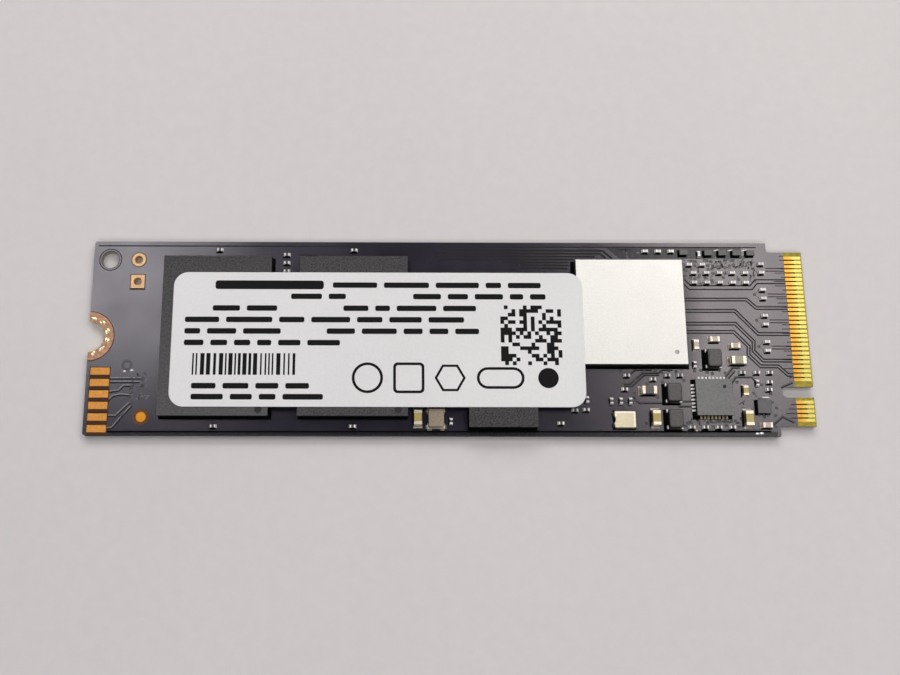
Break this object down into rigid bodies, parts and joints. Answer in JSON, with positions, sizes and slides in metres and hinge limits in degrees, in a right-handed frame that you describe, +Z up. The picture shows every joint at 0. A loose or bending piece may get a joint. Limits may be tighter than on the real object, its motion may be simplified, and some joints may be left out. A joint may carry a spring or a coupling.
{
  "type": "m.2 solid state drive",
  "caption": "Flat plug-in solid state drive card with flash chips, a lidded controller, small power parts, a plain label, edge contacts and a half-round screw notch.",
  "frame": {"origin": "middle of the card's plain underside, at the centre of its outline", "axes": "+X along the card to the edge contacts, +Y across it with the key slot on the -Y side, +Z up from the underside to the chips"},
  "size_m": [0.08, 0.022, 0.0021],
  "materials": {
    "bulk_mould": "taupe moulding compound",
    "ceramic_grey": "fired grey ceramic",
    "ceramic_tan": "fired brown-grey ceramic",
    "chip_mould": "matte grained moulding compound",
    "contact_gold": "bright hard gold plating",
    "crystal_ceramic": "tan ceramic base",
    "crystal_lid": "champagne metal lid",
    "ferrite": "matte black metal composite",
    "label_film": "satin silver-white film",
    "lid_metal": "satin nickel-plated lid",
    "pad_gold": "immersion gold over copper",
    "power_mould": "matte grey-black moulding compound",
    "solder": "reflowed tin solder",
    "solder_mask": "satin black solder mask on laminate",
    "substrate": "dark laminate",
    "terminal_tin": "tin-plated end terminal"
  },
  "bodies": {
    "root": {"beads": "ferrite", "buffer_balls": "solder", "buffer_chip": "chip_mould", "bulk_capacitor_body": "bulk_mould", "bulk_capacitor_terminals": "terminal_tin", "capacitor_1_body": "ceramic_tan", "capacitor_1_terminals": "terminal_tin", "capacitor_2_body": "ceramic_tan", "capacitor_2_terminals": "terminal_tin", "capacitor_3_body": "ceramic_tan", "capacitor_3_terminals": "terminal_tin", "capacitor_4_body": "ceramic_tan", "capacitor_4_terminals": "terminal_tin", "capacitor_5_body": "ceramic_tan", "capacitor_5_terminals": "terminal_tin", "circuit_card": "solder_mask", "controller_balls": "solder", "controller_bypass_bodies": "ceramic_grey", "controller_bypass_terminals": "terminal_tin", "controller_lid": "lid_metal", "controller_substrate": "substrate", "coupling_capacitor_bodies": "ceramic_grey", "coupling_capacitor_terminals": "terminal_tin", "crystal_base": "crystal_ceramic", "crystal_lid": "crystal_lid", "edge_contacts_bottom": "contact_gold", "edge_contacts_top": "contact_gold", "fiducial": "pad_gold", "flash_balls_1": "solder", "flash_balls_2": "solder", "flash_bypass_bodies": "ceramic_grey", "flash_bypass_terminals": "terminal_tin", "flash_chip_1": "chip_mould", "flash_chip_2": "chip_mould", "header_pad_round": "pad_gold", "header_pad_square": "pad_gold", "inductor_1_body": "ferrite", "inductor_1_terminals": "terminal_tin", "inductor_2_body": "ferrite", "inductor_2_terminals": "terminal_tin", "inductor_3_body": "ferrite", "inductor_3_terminals": "terminal_tin", "label": "label_film", "load_switch": "power_mould", "load_switch_pads": "solder", "power_bypass_bodies": "ceramic_grey", "power_bypass_terminals": "terminal_tin", "power_chip": "power_mould", "power_chip_pads": "solder", "screw_ring": "pad_gold", "small_capacitor_1_body": "ceramic_tan", "small_capacitor_2_body": "ceramic_tan", "small_capacitor_3_body": "ceramic_tan", "small_capacitor_4_body": "ceramic_tan", "small_capacitor_5_body": "ceramic_tan", "small_capacitor_terminals": "terminal_tin", "test_pads": "pad_gold"}
  },
  "joints": []
}
